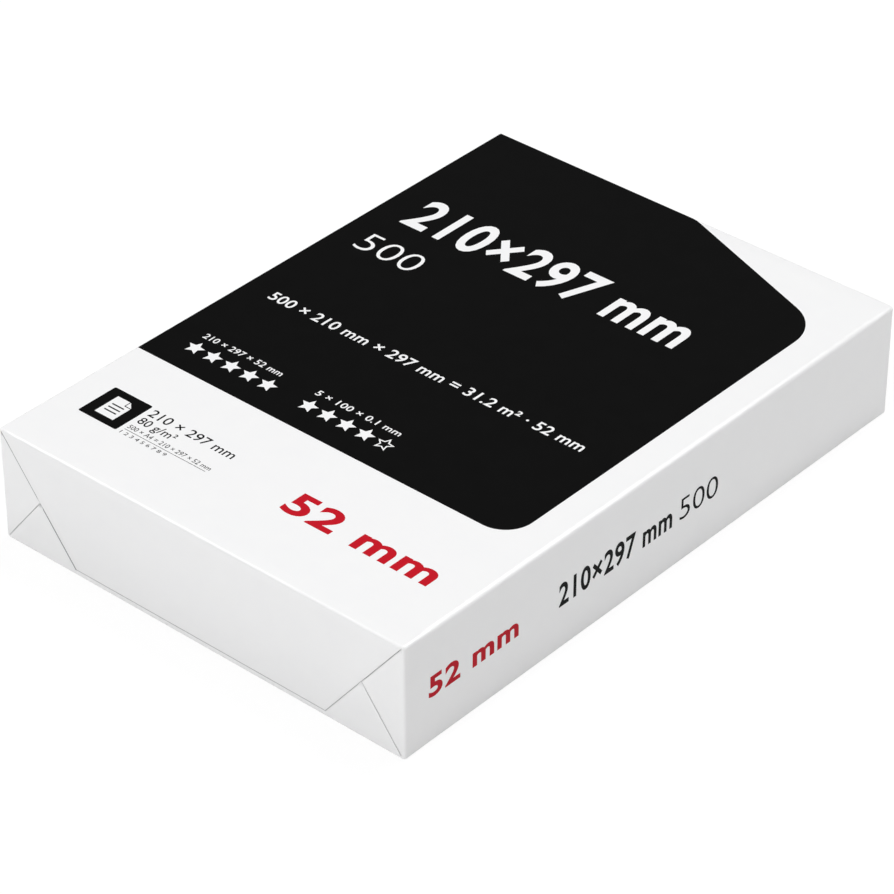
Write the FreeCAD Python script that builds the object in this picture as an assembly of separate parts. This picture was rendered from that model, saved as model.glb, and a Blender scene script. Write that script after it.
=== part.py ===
import FreeCAD, Part
import math
import os

# A sealed ream of copier paper, lying flat, in millimetres.
# Origin at the bottom centre of the pack, +X to the right across the sheets,
# +Y up the page towards the far end, +Z up through the stack.

# The sheets inside
sheet_width = 210.0
sheet_length = 297.0
sheet_count = 500
sheet_caliper = 0.104

# The wrapper, one sheet of coated paper that goes once round the stack
wrap_thickness = 0.12
fold_radius = 1.2  # outside, where the wrapper turns over an edge of the stack
lap_width = 25.0  # the wrapper's two long margins overlap this far under the stack
lap_ramp = 12.0  # beside the lap's cut edge the wrapper eases back to flat over this

# The parcel fold at each end: side tucks, then the bottom flap, then the top flap
tuck_plies = 1
flap_plies = 2  # a flap is two plies, because its gussets fold back behind it
flap_loft = 0.15  # air left in each flap, because creased paper springs open a little
flap_angle = 51.9  # between a flap's slanting edge and the level, in degrees
flap_margin = 3.1  # left between a flap's free edge and the far edge of the end

# The printed black field on the top face, measured from the pack's outer faces
field_bottom_margin = 75.5
field_right_margin = 14.7
field_fold_gap = 0.1  # the print stops this far short of the folds it runs up to
field_cut_drop = 32.2  # the slanting cut meets the right edge this far below the end
field_cut_angle = 19.9  # between the slanting cut and the far end, in degrees
field_corner_radius = 13.2
field_cut_radius = 22.0
ink_thickness = 0.05

# Worked out from the sizes above
pack_width = sheet_width + 2 * wrap_thickness
pack_height = sheet_count * sheet_caliper + 2 * wrap_thickness
tuck_rise = tuck_plies * wrap_thickness
flap_rise = flap_plies * wrap_thickness + flap_loft
bottom_flap_rise = tuck_rise + flap_rise
top_flap_rise = bottom_flap_rise + flap_rise
pack_length = sheet_length + 2 * top_flap_rise
half_width = pack_width / 2
half_length = pack_length / 2


def vec(x, y, z):
    return FreeCAD.Vector(x, y, z)


def wrapped_block(end_rise):
    """The stack in its wrapper, standing out this far at each end, all edges rounded."""
    length = sheet_length + 2 * end_rise
    corner = vec(-half_width, -length / 2, 0)
    block = Part.makeBox(pack_width, length, pack_height, corner)
    return block.makeFillet(fold_radius, block.Edges)


def flap_prism(end_rise, root_z, free_z):
    """All that lies behind a flap of both ends, which turns over in a round at its edges."""
    slope = math.tan(math.radians(flap_angle))
    end_y = sheet_length / 2 + end_rise
    root_half = half_width - fold_radius
    free_half = root_half - abs(free_z - root_z) / slope
    outside_half = root_half + fold_radius / slope
    outside_z = root_z + math.copysign(fold_radius, root_z - free_z)
    corners = [
        vec(-outside_half, -end_y, outside_z),
        vec(outside_half, -end_y, outside_z),
        vec(free_half, -end_y, free_z),
        vec(-free_half, -end_y, free_z),
    ]
    outline = Part.makePolygon(corners + corners[:1])
    prism = Part.Face(outline).extrude(vec(0, 2 * end_y, 0))
    rims = [edge for edge in prism.Edges if edge.BoundBox.YLength < end_y]
    return prism.makeFillet(flap_rise, rims)


def flap_pair(end_rise, root_z, free_z):
    """The same flap at both ends, with the stack between them."""
    return wrapped_block(end_rise).common(flap_prism(end_rise, root_z, free_z))


def lap_step():
    """The air beside the lap's cut edge, where one ply ends on the underside."""
    edge_x = -lap_width / 2
    corners = [
        vec(edge_x, -half_length, wrap_thickness),
        vec(edge_x - lap_ramp, -half_length, 0),
        vec(edge_x - lap_ramp, -half_length, -wrap_thickness),
        vec(edge_x, -half_length, -wrap_thickness),
    ]
    outline = Part.makePolygon(corners + corners[:1])
    return Part.Face(outline).extrude(vec(0, pack_length, 0))


def folded_pack():
    """The whole closed pack, before anything is printed on it."""
    tucked = wrapped_block(tuck_rise)
    bottom_flaps = flap_pair(bottom_flap_rise, 0, pack_height - flap_margin)
    top_flaps = flap_pair(top_flap_rise, pack_height, flap_margin)
    pack = tucked.fuse([bottom_flaps, top_flaps]).removeSplitter()
    return pack.cut(lap_step())


def rounded_outline(corners):
    """A closed flat wire through (point, radius) corners, with a tangent arc at each radius."""
    edges = []
    count = len(corners)
    stops = []
    for index, (point, radius) in enumerate(corners):
        if radius == 0:
            stops.append((point, point, point))
            continue
        before = (corners[index - 1][0] - point).normalize()
        after = (corners[(index + 1) % count][0] - point).normalize()
        half_turn = before.getAngle(after) / 2
        reach = radius / math.tan(half_turn)
        centre = point + (before + after).normalize() * (radius / math.sin(half_turn))
        middle = centre + (point - centre).normalize() * radius
        stops.append((point + before * reach, middle, point + after * reach))
    for index, (start, middle, end) in enumerate(stops):
        if start != end:
            edges.append(Part.Arc(start, middle, end).toShape())
        edges.append(Part.makeLine(end, stops[(index + 1) % count][0]))
    return Part.Wire(edges)


def field_prism():
    """The black field's outline on the flat of the top face, one ink layer deep."""
    left = -half_width + fold_radius + field_fold_gap
    right = half_width - field_right_margin
    bottom = -half_length + field_bottom_margin
    top = half_length - fold_radius - field_fold_gap
    cut_right = half_length - field_cut_drop
    cut_left = right - (top - cut_right) / math.tan(math.radians(field_cut_angle))
    z = pack_height - ink_thickness
    outline = rounded_outline([
        (vec(left, bottom, z), 0),
        (vec(right, bottom, z), field_corner_radius),
        (vec(right, cut_right, z), field_cut_radius),
        (vec(cut_left, top, z), field_cut_radius),
        (vec(left, top, z), 0),
    ])
    return Part.Face(outline).extrude(vec(0, 0, ink_thickness))


def write_part(name, shape):
    shape.exportStep(os.path.join("parts", name + ".step"))
    print(name, "solids", len(shape.Solids), "valid", shape.isValid(), "volume", round(shape.Volume, 2))


os.makedirs("parts", exist_ok=True)
black_print_field = field_prism()
wrapped_ream = folded_pack().cut(black_print_field)
write_part("wrapped_ream", wrapped_ream)
write_part("black_print_field", black_print_field)
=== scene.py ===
import math

import bmesh
import bpy
import numpy as np
from mathutils import Matrix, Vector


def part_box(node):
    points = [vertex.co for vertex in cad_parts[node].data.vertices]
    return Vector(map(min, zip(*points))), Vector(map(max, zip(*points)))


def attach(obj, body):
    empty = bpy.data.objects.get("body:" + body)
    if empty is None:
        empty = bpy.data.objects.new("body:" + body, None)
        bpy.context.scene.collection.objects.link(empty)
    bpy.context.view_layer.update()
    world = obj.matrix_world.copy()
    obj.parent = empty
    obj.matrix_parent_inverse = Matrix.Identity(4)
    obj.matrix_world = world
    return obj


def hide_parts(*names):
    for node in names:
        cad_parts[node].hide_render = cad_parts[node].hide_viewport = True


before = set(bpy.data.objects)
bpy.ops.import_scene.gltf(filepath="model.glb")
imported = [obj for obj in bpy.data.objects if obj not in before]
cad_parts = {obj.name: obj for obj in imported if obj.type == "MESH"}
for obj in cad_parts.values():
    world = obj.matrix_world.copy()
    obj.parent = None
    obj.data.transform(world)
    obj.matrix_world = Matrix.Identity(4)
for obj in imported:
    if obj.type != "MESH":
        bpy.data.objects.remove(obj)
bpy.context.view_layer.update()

mm = 0.001
packLow, packHigh = (np.array(corner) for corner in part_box("wrapped_ream"))
fieldLow, fieldHigh = (np.array(corner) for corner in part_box("black_print_field"))
tiny = 1e-9   # for comparing numbers that should be equal
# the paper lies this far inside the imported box, so that the print on it stays inside too
inkRoom = 0.08 * mm
halfWidth, halfLength, packHeight = packHigh[0] - inkRoom, packHigh[1], packHigh[2] - inkRoom
print("frame loaded, pack", np.round((packHigh - packLow) / mm, 2), "mm")


# Colours and nodes

def hexColour(text):
    # sRGB hex to linear, as the sRGB curve gives it
    srgb = np.array([int(text[i:i + 2], 16) / 255 for i in (1, 3, 5)])
    linear = np.where(srgb <= 0.04045, srgb / 12.92, ((srgb + 0.055) / 1.055) ** 2.4)
    return (*linear.tolist(), 1.0)


def addNode(tree, kind, settings=None, links=None):
    # settings go to the node's own properties or its inputs, links bring in other sockets
    node = tree.nodes.new(kind)
    for name, value in (settings or {}).items():
        if name in node.inputs:
            node.inputs[name].default_value = value
        else:
            setattr(node, name, value)
    for name, socket in (links or {}).items():
        tree.links.new(socket, node.inputs[name])
    return node


# a Mix node has number, vector and colour sockets under the same names, so its colours go by place
mixFirst, mixSecond, mixResult = 6, 7, 2


def newMaterial(name):
    material = bpy.data.materials.new(name)
    material.use_nodes = True
    material.node_tree.nodes.clear()
    return material, material.node_tree


coatedPaper = {
    "colour": "#F6F6F6",
    "cloudColour": "#F3F3F4",
    "cloudSize": 9 * mm,     # the uneven patches that paper shows against the light
    "cloudDetail": 3.0,
    "fibreSize": 0.7 * mm,   # real fibres are a third of this, too fine to show
    "fibreDetail": 4.0,
    "fibreDepth": 0.004 * mm,
    "cockleSize": 28 * mm,   # the slow ripple of a sheet that has taken up damp
    "cockleDetail": 1.0,
    "cockleDepth": 0.02 * mm,
    "roughness": 0.3,
    "roughnessSpread": 0.03,
    "ior": 1.58,             # of the clay in the coating
    "varnish": 0.7,
    "varnishRoughness": 0.16,
    "paintedShadeColour": "#66666A",  # painted shade: the grey painted into the gaps beside the flaps
}


def clayCoatedPaper():
    # Clay-coated wrapping paper with a thin press varnish: a smooth white that catches light on its folds
    s = coatedPaper
    material, tree = newMaterial("clay coated wrapping paper")
    place = addNode(tree, "ShaderNodeTexCoord").outputs["Object"]
    clouds = addNode(tree, "ShaderNodeTexNoise", {"Scale": 1 / s["cloudSize"], "Detail": s["cloudDetail"]},
                     {"Vector": place})
    tone = addNode(tree, "ShaderNodeMix", {"data_type": "RGBA"}, {"Factor": clouds.outputs["Fac"]})
    tone.inputs[mixFirst].default_value = hexColour(s["cloudColour"])
    tone.inputs[mixSecond].default_value = hexColour(s["colour"])
    # painted shade: the attribute says how much of the shade grey is painted in beside the flaps' edges
    gap = addNode(tree, "ShaderNodeAttribute", {"attribute_name": "gap"})
    paintedShadeMix = addNode(tree, "ShaderNodeMix", {"data_type": "RGBA"}, {"Factor": gap.outputs["Fac"]})
    tree.links.new(tone.outputs[mixResult], paintedShadeMix.inputs[mixFirst])
    paintedShadeMix.inputs[mixSecond].default_value = hexColour(s["paintedShadeColour"])
    fibres = addNode(tree, "ShaderNodeTexNoise", {"Scale": 1 / s["fibreSize"], "Detail": s["fibreDetail"]},
                     {"Vector": place})
    cockle = addNode(tree, "ShaderNodeTexNoise", {"Scale": 1 / s["cockleSize"], "Detail": s["cockleDetail"]},
                     {"Vector": place})
    ripple = addNode(tree, "ShaderNodeBump", {"Strength": 1.0, "Distance": s["cockleDepth"]},
                     {"Height": cockle.outputs["Fac"]})
    grain = addNode(tree, "ShaderNodeBump", {"Strength": 1.0, "Distance": s["fibreDepth"]},
                    {"Height": fibres.outputs["Fac"], "Normal": ripple.outputs["Normal"]})
    low, high = s["roughness"] - s["roughnessSpread"], s["roughness"] + s["roughnessSpread"]
    sheen = addNode(tree, "ShaderNodeMapRange", {"To Min": low, "To Max": high},
                    {"Value": fibres.outputs["Fac"]})
    shader = addNode(tree, "ShaderNodeBsdfPrincipled",
                     {"IOR": s["ior"], "Coat Weight": s["varnish"], "Coat Roughness": s["varnishRoughness"]},
                     {"Base Color": paintedShadeMix.outputs[mixResult], "Roughness": sheen.outputs["Result"],
                      "Normal": grain.outputs["Normal"]})
    addNode(tree, "ShaderNodeOutputMaterial", None, {"Surface": shader.outputs["BSDF"]})
    return material


inkFilm = {
    "mottleDetail": 5.0,
    "roughnessSpread": 0.03,
    "ior": 1.5,              # of dried ink
}
blackFilm = {"colour": "#0A0A0A", "thinColour": "#0D0D0D", "roughness": 0.35, "specular": 0.04}
redFilm = {"colour": "#B81322", "thinColour": "#BF1727", "roughness": 0.45, "specular": 0.06}


def offsetInk(name, s):
    # Offset ink on coated paper: a solid tone that thins a little where the paper is low
    material, tree = newMaterial(name)
    place = addNode(tree, "ShaderNodeTexCoord").outputs["Object"]
    under = coatedPaper
    mottle = addNode(tree, "ShaderNodeTexNoise",
                     {"Scale": 1 / under["cloudSize"], "Detail": inkFilm["mottleDetail"]}, {"Vector": place})
    tone = addNode(tree, "ShaderNodeMix", {"data_type": "RGBA"}, {"Factor": mottle.outputs["Fac"]})
    tone.inputs[mixFirst].default_value = hexColour(s["colour"])
    tone.inputs[mixSecond].default_value = hexColour(s["thinColour"])
    fibres = addNode(tree, "ShaderNodeTexNoise",
                     {"Scale": 1 / under["fibreSize"], "Detail": under["fibreDetail"]}, {"Vector": place})
    grain = addNode(tree, "ShaderNodeBump", {"Strength": 1.0, "Distance": under["fibreDepth"]},
                    {"Height": fibres.outputs["Fac"]})
    low, high = s["roughness"] - inkFilm["roughnessSpread"], s["roughness"] + inkFilm["roughnessSpread"]
    shine = addNode(tree, "ShaderNodeMapRange", {"To Min": low, "To Max": high},
                    {"Value": mottle.outputs["Fac"]})
    shader = addNode(tree, "ShaderNodeBsdfPrincipled",
                     {"IOR": inkFilm["ior"], "Specular IOR Level": s["specular"]},
                     {"Base Color": tone.outputs[mixResult], "Roughness": shine.outputs["Result"],
                      "Normal": grain.outputs["Normal"]})
    addNode(tree, "ShaderNodeOutputMaterial", None, {"Surface": shader.outputs["BSDF"]})
    return material


paper = clayCoatedPaper()
blackInk = offsetInk("offset black ink", blackFilm)
redInk = offsetInk("offset red ink", redFilm)
print("materials made")


# Meshes

mending = {
    "weld": 0.0005 * mm,     # points closer than this become one
    "sliver": 0.0002 * mm,   # edges shorter than this go
    "sharpAngle": 35,        # an edge stays sharp past this turn, in degrees
}


def finishPiece(name, points, faces, material, nodes=(), smooth=True, gap=None):
    # welds the seams, turns every face outwards and hands the piece to the frame
    mesh = bpy.data.meshes.new(name)
    mesh.from_pydata(points.reshape(-1, 3).tolist(), [], [list(face) for face in faces])
    if gap is not None:   # how much painted shade each point gets in the gap beside a flap, from 0 to 1
        mesh.attributes.new("gap", "FLOAT", "POINT").data.foreach_set("value", gap.ravel())
    work = bmesh.new()
    work.from_mesh(mesh)
    bmesh.ops.remove_doubles(work, verts=work.verts, dist=mending["weld"])
    bmesh.ops.dissolve_degenerate(work, edges=work.edges, dist=mending["sliver"])
    bmesh.ops.recalc_face_normals(work, faces=work.faces)
    work.to_mesh(mesh)
    work.free()
    mesh.materials.append(material)
    if smooth:
        mesh.shade_smooth()
        mesh.set_sharp_from_angle(angle=math.radians(mending["sharpAngle"]))
    piece = bpy.data.objects.new(name, mesh)
    bpy.context.scene.collection.objects.link(piece)
    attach(piece, "root")
    if nodes:
        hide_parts(*nodes)
    return piece


def gridFaces(rows, columns, start=0, closed=False):
    # quads of a grid numbered row by row, joined round across the columns if it is closed
    index = start + np.arange(rows * columns).reshape(rows, columns)
    if closed:
        index = np.concatenate([index, index[:, :1]], axis=1)
    quads = np.stack([index[:-1, :-1], index[:-1, 1:], index[1:, 1:], index[1:, :-1]], -1)
    return quads.reshape(-1, 4).tolist()


def tube(rings):
    # a closed profile carried along a path: rings joined in order, both ends capped
    rows, columns = rings.shape[:2]
    faces = gridFaces(rows, columns, closed=True)
    return faces + [list(range(columns)), list(range((rows - 1) * columns, rows * columns))]


# The wrapper round the stack

wrapper = {
    "foldRadius": 1.2 * mm,
    "softFold": 1.95 * mm,        # the right-hand top fold is rounder, apart from its ends
    "softStart": 4 * mm,
    "softRise": 12 * mm,
    "tuckSetback": 0.25 * mm,     # the side tucks lie this far inside the top flap's plane
    "lapEdge": -12.5 * mm,        # the cut edge of the lap underneath
    "lapStep": 0.12 * mm,
    "lapRamp": 12 * mm,
    "dip": 0.06 * mm,             # the faces give this much between the edges
    "dipStart": 3 * mm,           # and nothing this close to the ends
    "dipRise": 8 * mm,
    "waves": (97 * mm, 131 * mm, 57 * mm),   # lengths across, along and up
    "wavePhases": (0.7, 0.4, 1.9),
    "upShare": 0.4,               # of the wave that runs up
    "level": 0.99,                # a face that points down more than this is the underside
    "stationGap": 5 * mm,
    "evenReach": 80 * mm,         # stations across are even this far out from the middle
    "lapClear": 1 * mm,           # and none of them comes this close to the lap's edges
    "towardsSteps": 5,            # from there to where the stations close up beside a flap
    "beyondSteps": 6,             # and from there to the side
    "arcSteps": 8,
    "endRows": 13,                # in each half of the height
    "firstRow": 0.1 * mm,         # the row beside each fold, this far from it
}
flap = {
    "thickness": 0.24 * mm,       # two plies, the flap and the gusset folded back behind it
    "angle": 51.9,                # between the slanting edge and the level
    "rootInset": 0.8 * mm,        # the slanting edges start this far in from the sides
    "margin": 3.1 * mm,           # left between the free edge and the far edge of the end
    "bottomSetback": 0.12 * mm,   # the bottom flap's plane, inside the top flap's
    "tuckUnder": 1.0 * mm,        # the flap's paper runs back under the face's this far
    "blend": 0.3 * mm,
    "hollow": 0.04 * mm,          # the middle of a flap lies closer than its edges
    "hollowPower": 4,             # the higher, the further out the flap stays level
    "rootSink": 0.05 * mm,        # where it runs back under the face's paper
    "across": 41,
    "roundSteps": 6,
    "faceSteps": 10,
    "pathSteps": 9,
    "bottomDrops": (1.7 * mm, 2.1 * mm),   # the bottom flap's stations below the top flap's free edge
    "bottomLower": 6 * mm,        # from here to half way up they are even
    "lowerSteps": 9,
    "upperSteps": 5,
    "bottomReach": 40 * mm,       # its stations across close up past this
    "bottomMiddle": 35 * mm,      # and are even inside this
    "middleSteps": 11,
}
flapGap = {
    # The paper under a flap lies lower, and comes up again just past the flap's edge:
    # how far past the edge, and what share of the depth is left there
    "past": (0.10 * mm, 0.25 * mm, 0.42 * mm, 0.58 * mm, 0.75 * mm),
    "share": (1.0, 0.35, 0.10, 0.0, 0.0),
    "paintedShade": (1.0, 1.0, 0.9, 0.0, 0.0),       # how strong the painted shade is there
    "widePaintedShade": (1.0, 1.0, 1.0, 0.9, 0.0),   # and beside the top flap's left edge, where the painted shade reaches further
    "topFlapPaintedShade": (1.0, 0.26, 0.66),         # how strong the painted shade is in a gap beside the left, right and free edge
    "bottomFlapPaintedShade": (0.28, 0.06, 0.5),
    "tuckDepth": 0.32 * mm,
    "bottomFlapDepth": 0.3 * mm,
    "under": -0.3 * mm,
}
foldRadius = wrapper["foldRadius"]
tuckEnd = halfLength - wrapper["tuckSetback"]
slantSine = math.sin(math.radians(flap["angle"]))
slantSlope = math.tan(math.radians(flap["angle"]))


def flapHalf(drop):
    # half the width of a flap this far down from its fold, narrowing evenly
    return halfWidth - flap["rootInset"] - drop / slantSlope


def pastFlap(x, drop):
    # how far outside a flap's outline a point of the end lies, negative when it is under the flap
    return np.maximum((np.abs(x) - flapHalf(drop)) * slantSine, drop - (packHeight - flap["margin"]))


def gapShare(past):
    # the share of the gap's depth, from 1 under the flap to 0 beside it
    return np.interp(past, flapGap["past"], flapGap["share"])


def paintedGapShade(x, drop, paintedShadeStrengths, leftPaintedShade):
    # painted shade in the gap beside a flap, from 1 under the flap to 0 beside it, by the edge that is nearest
    past = pastFlap(x, drop)
    left, right, free = paintedShadeStrengths
    onFree = past <= drop - (packHeight - flap["margin"])
    edgePaintedShade = np.where(onFree, free, np.where(x < 0, left, right))
    wide = np.interp(past, flapGap["past"], flapGap[leftPaintedShade])
    return edgePaintedShade * np.where((x < 0) & ~onFree, wide, np.interp(past, flapGap["past"], flapGap["paintedShade"]))


def easeFromEnd(y, start, rise):
    # 0 at both ends of the pack, rising smoothly to 1 along it
    share = np.clip((halfLength - np.abs(y) - start) / rise, 0, 1)
    return share * share * (3 - 2 * share)


def dipAt(x, y, z):
    # how far a face of the wrapper gives inwards: a slow wave, always between 0 and the full dip
    a, b, c = wrapper["waves"]
    acrossPhase, alongPhase, slantPhase = wrapper["wavePhases"]
    wave = np.sin(2 * math.pi * x / a + acrossPhase) * np.cos(2 * math.pi * y / b + alongPhase)
    wave = wave + np.sin(2 * math.pi * (x + y + 2 * z) / (a + b) + slantPhase)
    wave = wave + wrapper["upShare"] * np.cos(2 * math.pi * z / c)
    most = 2 + wrapper["upShare"]   # the three terms together never pass this
    share = 0.5 + wave / (2 * most)
    return wrapper["dip"] * share * easeFromEnd(y, wrapper["dipStart"], wrapper["dipRise"])


def besideLine(line, limit, inner):
    # stations across half an end, from inner out to limit, close together where a flap's edge lies at line
    near = np.array([flapGap["under"], 0, *flapGap["past"]]) / slantSine
    close = np.clip(line[:, None] + near[None], inner, limit[:, None])
    start, stop = close[:, :1], close[:, -1:]
    towards = inner + (start - inner) * np.linspace(0, 1, wrapper["towardsSteps"])[None, :-1]
    beyond = stop + (limit[:, None] - stop) * np.linspace(0, 1, wrapper["beyondSteps"] + 1)[None, 1:]
    return np.concatenate([towards, close, beyond], axis=1)


def endColumns(z):
    # the stations across an end at each height: even in the middle, with the lap's edges among them
    line = np.maximum(flapHalf(z), flapHalf(packHeight - z))
    inner, clear = wrapper["evenReach"], wrapper["lapClear"]
    half = besideLine(line, np.full(len(z), halfWidth - foldRadius), inner)
    lap = [wrapper["lapEdge"], wrapper["lapEdge"] - wrapper["lapRamp"]]
    even = np.arange(-inner + wrapper["stationGap"], inner - clear, wrapper["stationGap"])
    fromLap = np.min(np.abs(even[:, None] - np.array(lap)), axis=1)
    even = np.sort(np.concatenate([even[fromLap > clear], lap]))
    middle = np.broadcast_to(even, (len(z), len(even)))
    return np.concatenate([-half[:, ::-1], middle, half], axis=1)


def endHeights():
    # rows up an end, with one where the flaps' edges cross and one close to each fold
    low, high = foldRadius, packHeight - foldRadius
    step = wrapper["firstRow"]
    lower = np.linspace(low + step, packHeight / 2, wrapper["endRows"])
    upper = np.linspace(packHeight / 2, high - step, wrapper["endRows"])[1:]
    return np.concatenate([[low], lower, upper, [high]])


def sectionRing(across, up):
    # The rounded rectangle across the stack, as core points and outward directions,
    # so that a point of the section is its core point plus its direction times the radius
    steps = np.linspace(0, math.pi / 2, wrapper["arcSteps"] + 1)
    coreX, lowZ, highZ = halfWidth - foldRadius, foldRadius, packHeight - foldRadius
    lapEdge, lapEnd = wrapper["lapEdge"], wrapper["lapEdge"] - wrapper["lapRamp"]
    under = np.sort(np.concatenate([across, [lapEdge]]))[::-1]
    x = [across, np.full(len(steps), coreX), np.full(len(up), coreX), np.full(len(steps), coreX),
         under, np.full(len(steps), -coreX), np.full(len(up), -coreX), np.full(len(steps), -coreX)]
    z = [np.full(len(across), highZ), np.full(len(steps), highZ), up[::-1], np.full(len(steps), lowZ),
         np.full(len(under), lowZ), np.full(len(steps), lowZ), up, np.full(len(steps), highZ)]
    turn = [np.zeros(len(across)), steps, np.full(len(up), math.pi / 2), steps + math.pi / 2,
            np.full(len(under), math.pi), steps + math.pi, np.full(len(up), 3 * math.pi / 2),
            steps + 3 * math.pi / 2]
    x, z, turn = (np.concatenate(values) for values in (x, z, turn))
    step = np.zeros(len(x))   # beside the lap's cut edge the underside is one ply higher, and eases back
    beside = (np.abs(turn - math.pi) < tiny) & (x <= lapEdge + tiny) & (x >= lapEnd)
    step[beside] = wrapper["lapStep"] * (x[beside] - lapEnd) / wrapper["lapRamp"]
    step[np.flatnonzero(beside)[0]] = 0
    return x, z, np.sin(turn), np.cos(turn), step


def softFoldMoves(coreX, coreZ, outX, outZ):
    # How each point of the section moves for each metre that the right-hand top fold's radius grows:
    # its arc grows about a core that draws back, and the faces beside it close up
    arc = (outX > -tiny) & (outZ > -tiny) & (coreX > halfWidth - foldRadius - tiny)
    arc &= coreZ > packHeight - foldRadius - tiny
    onTopFace = (outZ > 1 - tiny) & ~arc
    onRightFace = (outX > 1 - tiny) & ~arc
    fromX = wrapper["evenReach"]
    outShare = np.clip((coreX - fromX) / (halfWidth - foldRadius - fromX), 0, 1)
    upShare = (coreZ - foldRadius) / (packHeight - 2 * foldRadius)
    moveX = np.where(arc, outX - 1, np.where(onTopFace, -outShare, 0))
    moveZ = np.where(arc, outZ - 1, np.where(onRightFace, -upShare, 0))
    return moveX, moveZ


def buildWrapper():
    # Rings of the section, carried from end to end: round the end folds the radius shrinks to nothing,
    # and each end is a grid that sinks under the flaps and comes up again beside them
    heights = endHeights()
    columns = endColumns(heights)
    coreX, coreZ, outX, outZ, step = sectionRing(columns[0, 1:-1], heights[1:-1])
    coreY = tuckEnd - foldRadius
    steps = np.linspace(0, math.pi / 2, wrapper["arcSteps"] + 1)
    along = np.linspace(-coreY, coreY, int(2 * coreY / wrapper["stationGap"]) + 1)[1:-1]
    y = np.concatenate([-coreY - foldRadius * np.cos(steps), along, coreY + foldRadius * np.sin(steps)])
    outward = np.concatenate([np.sin(steps), np.ones(len(along)), np.cos(steps)])
    sideways = np.concatenate([-np.cos(steps), np.zeros(len(along)), np.sin(steps)])
    px = coreX[None] + outward[:, None] * foldRadius * outX[None]
    pz = coreZ[None] + outward[:, None] * (foldRadius * outZ[None] + step[None])
    py = np.broadcast_to(y[:, None], px.shape)
    moveX, moveZ = softFoldMoves(coreX, coreZ, outX, outZ)
    softer = (wrapper["softFold"] - foldRadius) * easeFromEnd(py, wrapper["softStart"], wrapper["softRise"])
    px, pz = px + softer * moveX, pz + softer * moveZ
    normal = [outward[:, None] * outX[None], np.broadcast_to(sideways[:, None], px.shape),
              outward[:, None] * outZ[None]]
    gives = np.where(outZ[None] < -wrapper["level"], 0, 1)   # the underside lies dead flat
    dip = dipAt(px, py, pz) * gives
    body = np.stack([px, py, pz], -1) - np.stack(normal, -1) * dip[..., None]
    faces = gridFaces(*body.shape[:2], closed=True)
    up, down = heights[:, None], packHeight - heights[:, None]
    share = gapShare(np.minimum(pastFlap(columns, up), pastFlap(columns, down)))
    # painted shade: grey painted into the ends beside the flaps' edges, where the gaps fall into shade
    paintedShade = np.where(pastFlap(columns, down) < pastFlap(columns, up),
                     paintedGapShade(columns, down, flapGap["topFlapPaintedShade"], "widePaintedShade"),
                     paintedGapShade(columns, up, flapGap["bottomFlapPaintedShade"], "paintedShade"))
    share[[0, -1]] = 0
    share[:, [0, -1]] = 0
    points, paintedShades = [body.reshape(-1, 3)], [np.zeros(body.shape[:2]).ravel()]
    for end in (-1, 1):
        level = end * (tuckEnd - share * flapGap["tuckDepth"])
        faces += gridFaces(*columns.shape, start=sum(len(part) for part in points))
        sheet = np.stack([columns, level, np.broadcast_to(heights[:, None], columns.shape)], -1)
        points.append(sheet.reshape(-1, 3))
        paintedShades.append(paintedShade.ravel())
    return finishPiece("wrapper", np.concatenate(points), faces, paper, ["wrapped_ream"],
                       gap=np.concatenate(paintedShades))


# The end flaps

def flapPath(outerEnd, drops):
    # Down a flap from its fold: along the face, round the fold, down the end.
    # Gives how far out and how far down each station lies, and the way its outer side faces
    r = foldRadius
    faceEnd, faceStart = outerEnd - r, tuckEnd - foldRadius - flap["tuckUnder"]
    onFace = np.linspace(faceStart, faceEnd, flap["faceSteps"])
    sunk = 1 - np.clip((onFace - faceStart - flap["tuckUnder"]) / flap["blend"], 0, 1)
    turn = np.linspace(0, math.pi / 2, wrapper["arcSteps"] + 1)[1:]
    out = np.concatenate([onFace, faceEnd + r * np.sin(turn), np.full(len(drops), outerEnd)])
    down = np.concatenate([flap["rootSink"] * sunk, r * (1 - np.cos(turn)), drops])
    outOut = np.concatenate([np.zeros(len(onFace)), np.sin(turn), np.ones(len(drops))])
    upOut = np.concatenate([np.ones(len(onFace)), np.cos(turn), np.zeros(len(drops))])
    return out, down, outOut, upOut


def flapSheet(name, end, setback, rootHeight, direction, drops, columns, depth, paintedShadeAt):
    # A folded sheet two plies thick with rounded edges, carried down the flap's path: columns gives the
    # stations across for each drop, depth how far the sheet lies back at each point, and the last function
    # the painted shade in the gap beside another flap's edge
    out, down, outOut, upOut = flapPath(halfLength - setback, drops)
    t = flap["thickness"] / 2
    front = columns(down)
    count = front.shape[1]
    turn = np.linspace(0, math.pi, flap["roundSteps"] + 2)[1:-1]
    right = front[:, -1:] + t * np.sin(turn)[None]
    left = front[:, :1] - t * np.sin(turn)[None]
    x = np.concatenate([front, right, front[:, ::-1], left], axis=1)
    through = np.concatenate([np.full(count, t), t * np.cos(turn), np.full(count, -t), -t * np.cos(turn)])
    back = through[None] - t - outOut[:, None] * depth(x, down[:, None])
    y = end * (out[:, None] + outOut[:, None] * back)
    z = rootHeight - direction * (down[:, None] - upOut[:, None] * back)
    rings = np.stack([x, y, z], -1)
    # painted shade along the gap beside the other flap's edge, on the end only
    paintedShade = paintedShadeAt(x, down[:, None]) * outOut[:, None]
    return finishPiece(name, rings, tube(rings), paper, ["wrapped_ream"], gap=paintedShade)


def buildTopFlap(name, end):
    drops = np.linspace(foldRadius, packHeight - flap["margin"], flap["pathSteps"] + 1)[1:]
    share = np.linspace(-1, 1, flap["across"])

    def columns(down):
        return (flapHalf(down)[:, None] - flap["thickness"] / 2) * share[None]

    def depth(x, down):
        return flap["hollow"] * (1 - np.clip(np.abs(x) / flapHalf(down), 0, 1) ** flap["hollowPower"])

    # no painted shade on the top flap
    def paintedShadeAt(x, down):
        return 0 * x

    return flapSheet(name, end, 0.0, packHeight, 1, drops, columns, depth, paintedShadeAt)


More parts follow.
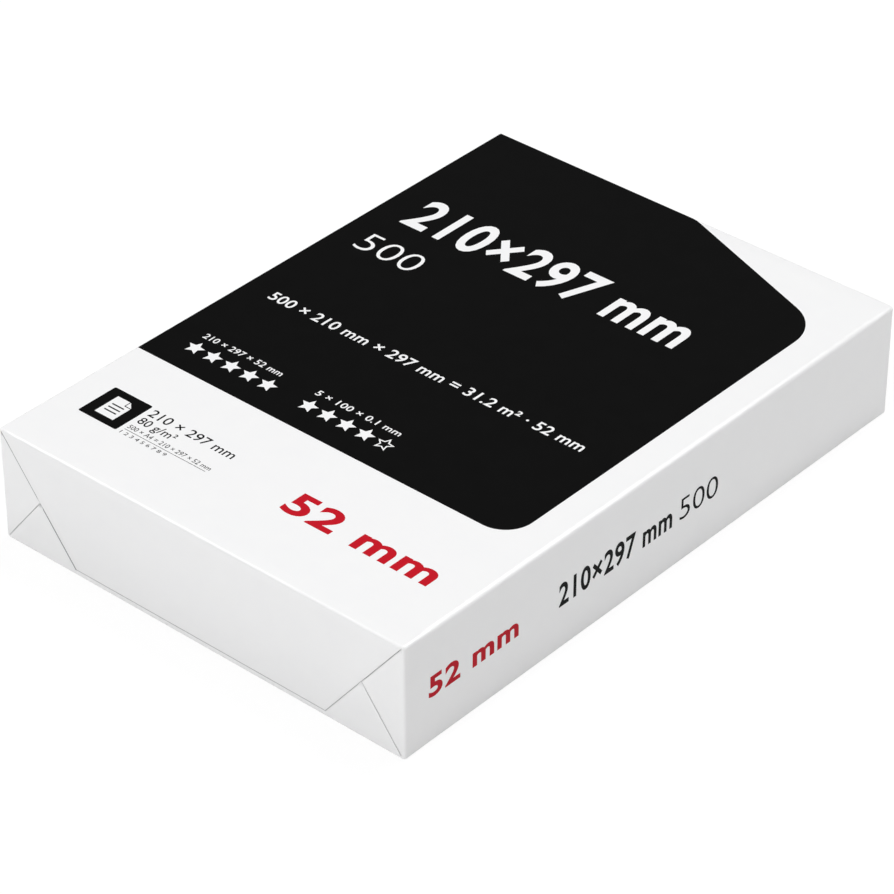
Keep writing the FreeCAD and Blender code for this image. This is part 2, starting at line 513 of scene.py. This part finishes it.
def buildBottomFlap(name, end):
    # the same flap the other way up, sinking where the top flap lies over it
    past = np.array([*flapGap["past"][::-1], 0, flapGap["under"]])
    beside = flap["margin"] - past
    last = packHeight - flap["margin"]
    lower = np.linspace(flap["bottomLower"], packHeight / 2, flap["lowerSteps"])
    upper = np.linspace(packHeight / 2, last, flap["upperSteps"])[1:]
    drops = np.concatenate([flap["bottomDrops"], beside, lower, upper])

    def columns(down):
        limit = flapHalf(down) - flap["thickness"] / 2
        line = np.minimum(flapHalf(packHeight - down), limit)
        half = besideLine(line, limit, flap["bottomReach"])
        even = np.linspace(-flap["bottomMiddle"], flap["bottomMiddle"], flap["middleSteps"])
        middle = np.broadcast_to(even, (len(down), len(even)))
        return np.concatenate([-half[:, ::-1], middle, half], axis=1)

    def depth(x, down):
        return gapShare(pastFlap(x, packHeight - down)) * flapGap["bottomFlapDepth"]

    # painted shade where the top flap's edges lie over the bottom flap
    def paintedShadeAt(x, down):
        return paintedGapShade(x, packHeight - down, flapGap["topFlapPaintedShade"], "widePaintedShade")

    return flapSheet(name, end, flap["bottomSetback"], 0.0, -1, drops, columns, depth, paintedShadeAt)


# Print on the wrapper

printing = {
    "lift": 0.025 * mm,           # each layer of ink stands this far above the last
    "sink": 0.3 * mm,             # the plates reach this far down, so none floats
    "step": 4 * mm,
    "left": -halfWidth,
    "bottom": -halfLength,
}


def topHeight(x, y):
    # the top face, falling away round the long folds and, at the ends, round the top flap's fold
    besideX = np.clip(np.abs(x) - (halfWidth - foldRadius), 0, foldRadius)
    besideY = np.clip(np.abs(y) - (halfLength - foldRadius), 0, foldRadius)
    fallX = foldRadius - np.sqrt(foldRadius ** 2 - besideX ** 2)
    fallY = foldRadius - np.sqrt(foldRadius ** 2 - besideY ** 2)
    return packHeight - fallX - fallY - dipAt(x, y, packHeight)


def onTop(across, along, raised, layer=1):
    # page position, from the left edge and the near end, to a point on the top face
    x, y = printing["left"] + across, printing["bottom"] + along
    z = topHeight(x, y) + np.where(raised, layer * printing["lift"], -printing["sink"])
    return np.stack([x, y, z], -1)


def onSide(along, up, raised, layer=1):
    # position on the right side face, from the near end and the underside
    y, z = printing["bottom"] + along, up
    x = halfWidth - dipAt(halfWidth, y, z) + np.where(raised, layer * printing["lift"], -printing["sink"])
    return np.stack([x, y, z], -1)


def plate(outline, hole=None):
    # a flat plate from its outline, or a band between an outline and a hole with as many points
    count = len(outline)
    if hole is None:
        flat = np.concatenate([outline, outline])
        raised = np.repeat([True, False], count)
        faces = [list(range(count)), list(range(count, 2 * count))[::-1]]
        faces += gridFaces(2, count, closed=True)
        return flat, raised, faces
    flat = np.concatenate([outline, hole, hole, outline])
    raised = np.repeat([True, True, False, False], count)
    faces = gridFaces(4, count, closed=True)
    first, last = np.arange(count), np.arange(3 * count, 4 * count)
    faces += np.stack([first, np.roll(first, -1), np.roll(last, -1), last], -1).tolist()
    return flat, raised, faces


def printPlates(name, plates, place, material, layer=1):
    # several plates, placed on the paper, as one piece
    points, faces, start = [], [], 0
    for flat, raised, plateFaces in plates:
        points.append(place(flat[:, 0], flat[:, 1], raised, layer))
        faces += [[start + index for index in face] for face in plateFaces]
        start += len(flat)
    return finishPiece(name, np.concatenate(points), faces, material, smooth=False)


def corner(centre, radius, fromTurn, toTurn, count):
    # an arc of an outline, turning from one direction to another, in degrees
    turn = np.radians(np.linspace(fromTurn, toTurn, count))
    return np.stack([centre[0] + radius * np.cos(turn), centre[1] + radius * np.sin(turn)], -1)


field = {
    "leftMargin": 0.9 * mm,
    "farMargin": 0.55 * mm,
    "cornerRadius": 13.2 * mm,
    "cutRadius": 22 * mm,
    "cutDrop": 32.2 * mm,
    "cutAngle": 19.9,
    "columns": 49,
    "edgeShares": (0, 0.002, 0.004),   # columns close together at the left, where the paper turns down
    "rowGap": 5 * mm,
    "edgeClear": 1 * mm,          # no row of the straight edge comes this close to the cut's arc
    "cornerSteps": 13,
    "slantSteps": 12,
    "farSteps": 7,
}


def buildBlackField():
    # Rows up the page, each running from the left fold to the field's right-hand outline:
    # an arc, a straight edge, an arc into the slanting cut and an arc into the far end
    s = field
    near = fieldLow[1] + halfLength
    right = fieldHigh[0] + halfWidth
    far = 2 * halfLength - s["farMargin"]
    cutTurn = 90 - s["cutAngle"]
    cutHeight = 2 * halfLength - s["cutDrop"]
    reach = s["cutRadius"] * math.tan(math.radians(cutTurn / 2))
    farReach = s["cutRadius"] * math.tan(math.radians(s["cutAngle"] / 2))
    cutLeft = right - (far - cutHeight) / math.tan(math.radians(s["cutAngle"]))
    r, steps = s["cornerRadius"], s["cornerSteps"]
    nearArc = corner((right - r, near + r), r, -90, 0, steps)
    cutArc = corner((right - s["cutRadius"], cutHeight - reach), s["cutRadius"], 0, cutTurn, steps)
    farArc = corner((cutLeft - farReach, far - s["cutRadius"]), s["cutRadius"], cutTurn, 90, s["farSteps"])
    edge = np.arange(near + r + s["rowGap"], cutHeight - reach - s["edgeClear"], s["rowGap"])
    straight = np.stack([np.full(len(edge), right), edge], -1)
    slant = np.linspace(cutArc[-1], farArc[0], s["slantSteps"])[1:-1]
    profile = np.concatenate([nearArc, straight, cutArc, slant, farArc])
    share = np.concatenate([s["edgeShares"], np.linspace(0, 1, s["columns"])[1:]])
    left = s["leftMargin"]
    across = left + share[None] * (profile[:, :1] - left)
    along = np.broadcast_to(profile[:, 1:], across.shape)
    rows, columns = across.shape
    top = onTop(across, along, True)
    low = onTop(across, along, False)
    below = rows * columns   # where the lower grid's numbers start
    rim = np.concatenate([np.arange(columns), np.arange(1, rows) * columns + columns - 1,
                          (rows - 1) * columns + np.arange(columns - 1)[::-1],
                          np.arange(1, rows - 1)[::-1] * columns])
    faces = gridFaces(rows, columns) + gridFaces(rows, columns, start=below)
    faces += np.stack([rim, np.roll(rim, -1), np.roll(rim, -1) + below, rim + below], -1).tolist()
    points = np.stack([top, low])
    return finishPiece("blackField", points, faces, blackInk, ["black_print_field"])


stars = {
    "radius": 4.35 * mm,
    "waist": 0.48,                # the inner corners, as a share of the radius
    "pitch": 9.92 * mm,
    "height": 90.2 * mm,
    "points": 5,
    "rowStarts": (18.4 * mm, 80.1 * mm),
    "inRow": 5,
    "solidInRow": (5, 4),
    "line": 0.68,                 # the outlined star's hole, as a share of the star
}


def starOutline(x, y, size=1.0):
    # points and inner corners by turns, from the top round
    index = np.arange(2 * stars["points"])
    turn = math.pi / 2 + index * math.pi / stars["points"]
    radius = size * stars["radius"] * np.where(index % 2 == 0, 1, stars["waist"])
    return np.stack([x + radius * np.cos(turn), y + radius * np.sin(turn)], -1)


def buildStarRows():
    for row, (start, solid) in enumerate(zip(stars["rowStarts"], stars["solidInRow"])):
        plates = []
        for index in range(stars["inRow"]):
            x, y = start + index * stars["pitch"], stars["height"]
            hole = None if index < solid else starOutline(x, y, stars["line"])
            plates.append(plate(starOutline(x, y), hole))
        printPlates(f"starRow{row + 1}", plates, onTop, paper, 2)


# Numbers

lettering = {
    "capShare": 0.686,       # the built-in font's capitals, as a share of its size
    "thickness": 0.1,        # half of it, before the words are laid on the paper
    "resolution": 5,         # finer curves make some bold letters cross themselves
    "spread": 3,             # bolder letters need more room between them, by this times their weight
}


def textPoints(s):
    # The words as a closed flat solid at the origin, then scaled to their capital height and width
    curve = bpy.data.curves.new("words", "FONT")
    curve.body = s["words"]
    curve.size = 1.0
    curve.offset = s["weight"]
    curve.space_character = 1 + lettering["spread"] * max(s["weight"], 0)
    curve.extrude = lettering["thickness"]
    curve.resolution_u = lettering["resolution"]
    holder = bpy.data.objects.new("words", curve)
    bpy.context.scene.collection.objects.link(holder)
    bpy.context.view_layer.update()
    finished = holder.evaluated_get(bpy.context.evaluated_depsgraph_get())
    mesh = bpy.data.meshes.new_from_object(finished)
    points = np.zeros(len(mesh.vertices) * 3)
    mesh.vertices.foreach_get("co", points)
    faces = [list(polygon.vertices) for polygon in mesh.polygons]
    bpy.data.objects.remove(holder)
    bpy.data.curves.remove(curve)
    bpy.data.meshes.remove(mesh)
    points = points.reshape(-1, 3)
    points[:, :2] *= s["capHeight"] / lettering["capShare"]
    if "width" in s:
        low, high = points[:, 0].min(), points[:, 0].max()
        points[:, 0] = (points[:, 0] - low) * s["width"] / (high - low)
    return points, faces


def buildText(name, s, place, material, layer=1):
    # words laid on the paper, with their left end and foot at the place given
    points, faces = textPoints(s)
    placed = place(s["at"][0] + points[:, 0], s["at"][1] + points[:, 1], points[:, 2] > 0, layer)
    return finishPiece(name, placed, faces, material, smooth=False)


topText = {
    "sheetSize": {"words": "210×297 mm", "at": (16.0 * mm, 215.5 * mm), "capHeight": 21.7 * mm,
                  "weight": 0.022, "width": 145.5 * mm},
    "sheetCount": {"words": "500", "at": (13.6 * mm, 187.7 * mm), "capHeight": 13.5 * mm,
                   "weight": -0.012, "width": 32 * mm},
    "sheetLine": {"words": "500 × 210 mm × 297 mm = 31.2 m² · 52 mm", "at": (14.5 * mm, 135.9 * mm),
                  "capHeight": 5.7 * mm, "weight": 0.013, "width": 165 * mm},
    "packSize": {"words": "210 × 297 × 52 mm", "at": (15.0 * mm, 97.6 * mm), "capHeight": 3.4 * mm,
                 "weight": 0.012, "width": 42.6 * mm},
    "sheetStack": {"words": "5 × 100 × 0.1 mm", "at": (76.2 * mm, 97.6 * mm), "capHeight": 3.4 * mm,
                   "weight": 0.012, "width": 44.2 * mm},
}
emblemText = {
    "emblemLine1": {"words": "210 × 297 mm", "at": (37.2 * mm, 44.0 * mm), "capHeight": 4.9 * mm,
                    "weight": 0.006, "width": 45 * mm},
    "emblemLine2": {"words": "80 g/m²", "at": (37.2 * mm, 37.9 * mm), "capHeight": 4.3 * mm,
                    "weight": 0.006},
    "emblemLine3": {"words": "500 × A4 = 210 × 297 × 52 mm", "at": (37.2 * mm, 33.0 * mm),
                    "capHeight": 2.5 * mm, "weight": 0.0, "width": 44 * mm},
    "emblemLine4": {"words": "1 2 3 4 5 6 7 8 9", "at": (37.2 * mm, 28.7 * mm), "capHeight": 1.9 * mm,
                    "weight": 0.0, "width": 24.5 * mm},
}
redTopText = {"words": "52 mm", "at": (117.5 * mm, 33.4 * mm), "capHeight": 12.7 * mm, "weight": 0.03,
              "width": 74 * mm}
redSideText = {"words": "52 mm", "at": (13.6 * mm, 21.2 * mm), "capHeight": 9.0 * mm, "weight": 0.03,
               "width": 50.5 * mm}
sideText = {
    "sideSize": {"words": "210×297 mm", "at": (87.5 * mm, 20.4 * mm), "capHeight": 10.1 * mm,
                 "weight": 0.022, "width": 68.3 * mm},
    "sideCount": {"words": "500", "at": (160.5 * mm, 20.4 * mm), "capHeight": 10.1 * mm,
                  "weight": -0.008, "width": 24 * mm},
}
emblem = {
    "left": 14.3 * mm,
    "bottom": 29.0 * mm,
    "size": 20.7 * mm,
    "radius": 0.8 * mm,           # of the square's corners
    "cornerSteps": 5,
    "page": (10 * mm, 13 * mm),   # width and height
    "pageFold": 3.4 * mm,
    "foldGap": 0.45 * mm,
    "lines": (3.2 * mm, 5.4 * mm, 7.6 * mm),   # how far up the page each one is
    "lineHeight": 0.7 * mm,
    "lineInset": 1.8 * mm,
    "rule": (37.2 * mm, 80.5 * mm, 31.7 * mm, 0.22 * mm),   # left end, right end, place up the page, thickness
}


def bar(left, bottom, right, top):
    # a bar's outline, with stations along it so that it follows the paper
    x = np.linspace(left, right, 2 + int((right - left) / printing["step"]))
    lower = np.stack([x, np.full(len(x), bottom)], -1)
    upper = np.stack([x[::-1], np.full(len(x), top)], -1)
    return np.concatenate([lower, upper])


def buildEmblem():
    # A black square with a plain white page on it, its corner turned down, and ruled lines on the page
    s = emblem
    low, high, steps = s["radius"], s["size"] - s["radius"], s["cornerSteps"]
    outline = np.concatenate([corner((low, low), low, 180, 270, steps),
                              corner((high, low), low, 270, 360, steps),
                              corner((high, high), low, 0, 90, steps),
                              corner((low, high), low, 90, 180, steps)])
    origin = np.array([s["left"], s["bottom"]])
    printPlates("emblemSquare", [plate(outline + origin)], onTop, blackInk, 1)
    wide, tall = s["page"]
    start = origin + (s["size"] - np.array([wide, tall])) / 2
    fold, gap = s["pageFold"], s["foldGap"]
    turned = np.array([(wide - fold + gap, tall - fold + gap), (wide, tall - fold + gap),
                       (wide - fold + gap, tall)])
    body = np.array([(0, 0), (wide, 0), (wide, tall - fold), (wide - fold, tall - fold),
                     (wide - fold, tall), (0, tall)])
    printPlates("emblemPage", [plate(body + start), plate(turned + start)], onTop, paper, 2)
    inset, thick = s["lineInset"], s["lineHeight"]
    lines = [plate(bar(inset, y, wide - inset, y + thick) + start) for y in s["lines"]]
    printPlates("emblemPageLines", lines, onTop, blackInk, 3)
    left, right, height, thick = s["rule"]
    rule = plate(bar(left, height, right, height + thick))
    printPlates("emblemRule", [rule], onTop, blackInk, 1)
    for name, words in emblemText.items():
        buildText(name, words, onTop, blackInk, 1)


buildWrapper()
for endName, end in (("Near", -1), ("Far", 1)):
    buildBottomFlap("bottomFlap" + endName, end)
    buildTopFlap("topFlap" + endName, end)
print("wrapper and flaps made")

buildBlackField()
for name, words in topText.items():
    buildText(name, words, onTop, paper, 2)
buildStarRows()
buildEmblem()
buildText("redTop", redTopText, onTop, redInk)
buildText("redSide", redSideText, onSide, redInk)
for name, words in sideText.items():
    buildText(name, words, onSide, blackInk)
print("print made")


# Floor, light and camera

studio = {
    "floorColour": "#E0E0E0",
    "floorSize": 24.0,
    "floorGap": 0.02 * mm,        # keeps the floor out of the underside's plane
    "floorGlow": 1.08,            # of the plain white that the camera sees
    "shadowStrength": 0.2,        # of the floor's real shadow, as the camera sees it
    "shadowFade": (0.7, 1.6),     # metres from the middle: from here to here the floor turns plain white
    "skyLight": 0.30,
    "skyDark": (-0.66, 0.75, 0.0),   # the side that a dark curtain hangs on, which the black print mirrors
    "curtain": 0.3,               # how much darker the sky is there, and lighter across from it
    # each lamp's place, width and height, the direction that its height runs in, and watts
    "softbox": {"at": (0.0, 1.2, 2.8), "size": (1.2, 1.2), "upright": (0, 0, 1), "power": 35.6},
    "frontFill": {"at": (0.3, -3.08, 2.87), "size": (1.75, 1.75), "upright": (0, 0, 1), "power": 74.5},
    # strips, which draw the light lines along the front and the right-hand top folds
    "frontStrip": {"at": (-1.56, -0.62, 1.9), "size": (0.5, 1.9), "upright": (0, 0.951, 0.309), "power": 9.0},
    "rightStrip": {"at": (1.14, 1.42, 1.50), "size": (0.5, 2.4), "upright": (0.80, 0, -0.60), "power": 10.0},
}


def buildFloor():
    s = studio
    half, low = s["floorSize"] / 2, -s["floorGap"]
    mesh = bpy.data.meshes.new("floor")
    corners = [(-half, -half, low), (half, -half, low), (half, half, low), (-half, half, low)]
    mesh.from_pydata(corners, [], [(0, 1, 2, 3)])
    floor = bpy.data.objects.new("floor", mesh)
    bpy.context.scene.collection.objects.link(floor)
    material, tree = newMaterial("white sweep")
    matte = addNode(tree, "ShaderNodeBsdfDiffuse", {"Color": hexColour(s["floorColour"])})
    glow = addNode(tree, "ShaderNodeEmission", {"Color": (1, 1, 1, 1), "Strength": s["floorGlow"]})
    place = addNode(tree, "ShaderNodeTexCoord").outputs["Object"]
    far = addNode(tree, "ShaderNodeVectorMath", {"operation": "LENGTH"})
    tree.links.new(place, far.inputs[0])
    near, gone = s["shadowFade"]
    fade = {"interpolation_type": "SMOOTHSTEP", "From Min": near, "From Max": gone,
            "To Min": s["shadowStrength"], "To Max": 0.0}
    strength = addNode(tree, "ShaderNodeMapRange", fade, {"Value": far.outputs["Value"]})
    both = addNode(tree, "ShaderNodeMixShader", None, {"Fac": strength.outputs["Result"]})
    tree.links.new(glow.outputs[0], both.inputs[1])
    tree.links.new(matte.outputs[0], both.inputs[2])
    path = addNode(tree, "ShaderNodeLightPath")
    pick = addNode(tree, "ShaderNodeMixShader", None, {"Fac": path.outputs["Is Camera Ray"]})
    tree.links.new(matte.outputs[0], pick.inputs[1])
    tree.links.new(both.outputs[0], pick.inputs[2])
    addNode(tree, "ShaderNodeOutputMaterial", None, {"Surface": pick.outputs[0]})
    mesh.materials.append(material)


def buildSky():
    world = bpy.data.worlds.new("studio")
    bpy.context.scene.world = world
    world.use_nodes = True
    tree = world.node_tree
    tree.nodes.clear()
    path = addNode(tree, "ShaderNodeLightPath")
    way = addNode(tree, "ShaderNodeTexCoord").outputs["Generated"]
    facing = addNode(tree, "ShaderNodeVectorMath", {"operation": "DOT_PRODUCT"})
    tree.links.new(way, facing.inputs[0])
    facing.inputs[1].default_value = studio["skyDark"]
    bright = studio["skyLight"] * (1 + studio["curtain"])
    dark = studio["skyLight"] * (1 - studio["curtain"])
    level = addNode(tree, "ShaderNodeMapRange",
                    {"From Min": -1.0, "From Max": 1.0, "To Min": bright, "To Max": dark},
                    {"Value": facing.outputs["Value"]})
    soft = addNode(tree, "ShaderNodeBackground", {"Color": (1, 1, 1, 1)},
                   {"Strength": level.outputs["Result"]})
    white = addNode(tree, "ShaderNodeBackground", {"Color": (1, 1, 1, 1), "Strength": 1.0})
    pick = addNode(tree, "ShaderNodeMixShader", None, {"Fac": path.outputs["Is Camera Ray"]})
    tree.links.new(soft.outputs[0], pick.inputs[1])
    tree.links.new(white.outputs[0], pick.inputs[2])
    addNode(tree, "ShaderNodeOutputWorld", None, {"Surface": pick.outputs[0]})


def addLamp(name, s):
    # an area lamp that faces the middle of the pack's foot
    lamp = bpy.data.lights.new(name, "AREA")
    lamp.shape = "RECTANGLE"
    lamp.size, lamp.size_y = s["size"]
    lamp.energy = s["power"]
    holder = bpy.data.objects.new(name, lamp)
    bpy.context.scene.collection.objects.link(holder)
    at = np.array(s["at"])
    back = at / np.linalg.norm(at)
    right = np.cross(s["upright"], back)
    right /= np.linalg.norm(right)
    turn = np.eye(4)
    turn[:3, 0], turn[:3, 1], turn[:3, 2], turn[:3, 3] = right, np.cross(back, right), back, at
    holder.matrix_world = Matrix(turn.tolist())


view = {
    "azimuth": 41.1627,
    "elevation": 35.1319,
    "roll": 0.0547,
    "distance": 1.532866,
    "target": (8.6381 * mm, -15.6516 * mm, 25.0 * mm),
    "focalPixels": 3868.45,       # the photo is 894 pixels wide
    "photoPixels": 894,
    "sensor": 36.0,
    "clip": (0.05, 50.0),
}


def buildCamera():
    # the view solved from the photo: it looks at the target from the distance and turns given
    azimuth, elevation, roll = (math.radians(view[name]) for name in ("azimuth", "elevation", "roll"))
    back = np.array([math.sin(azimuth) * math.cos(elevation), -math.cos(azimuth) * math.cos(elevation),
                     math.sin(elevation)])
    right = np.cross([0, 0, 1], back)
    right /= np.linalg.norm(right)
    up = np.cross(back, right)
    turn = np.eye(4)
    turn[:3, 0] = right * math.cos(roll) + up * math.sin(roll)
    turn[:3, 1] = up * math.cos(roll) - right * math.sin(roll)
    turn[:3, 2] = back
    turn[:3, 3] = np.array(view["target"]) + back * view["distance"]
    camera = bpy.data.cameras.new("camera")
    camera.sensor_width = view["sensor"]
    camera.lens = view["sensor"] * view["focalPixels"] / view["photoPixels"]
    camera.clip_start, camera.clip_end = view["clip"]
    holder = bpy.data.objects.new("camera", camera)
    bpy.context.scene.collection.objects.link(holder)
    holder.matrix_world = Matrix(turn.tolist())
    bpy.context.scene.camera = holder


buildFloor()
buildSky()
for lampName in ("softbox", "frontFill", "frontStrip", "rightStrip"):
    addLamp(lampName, studio[lampName])
buildCamera()
bpy.context.scene.view_settings.view_transform = "Standard"
print("studio made")
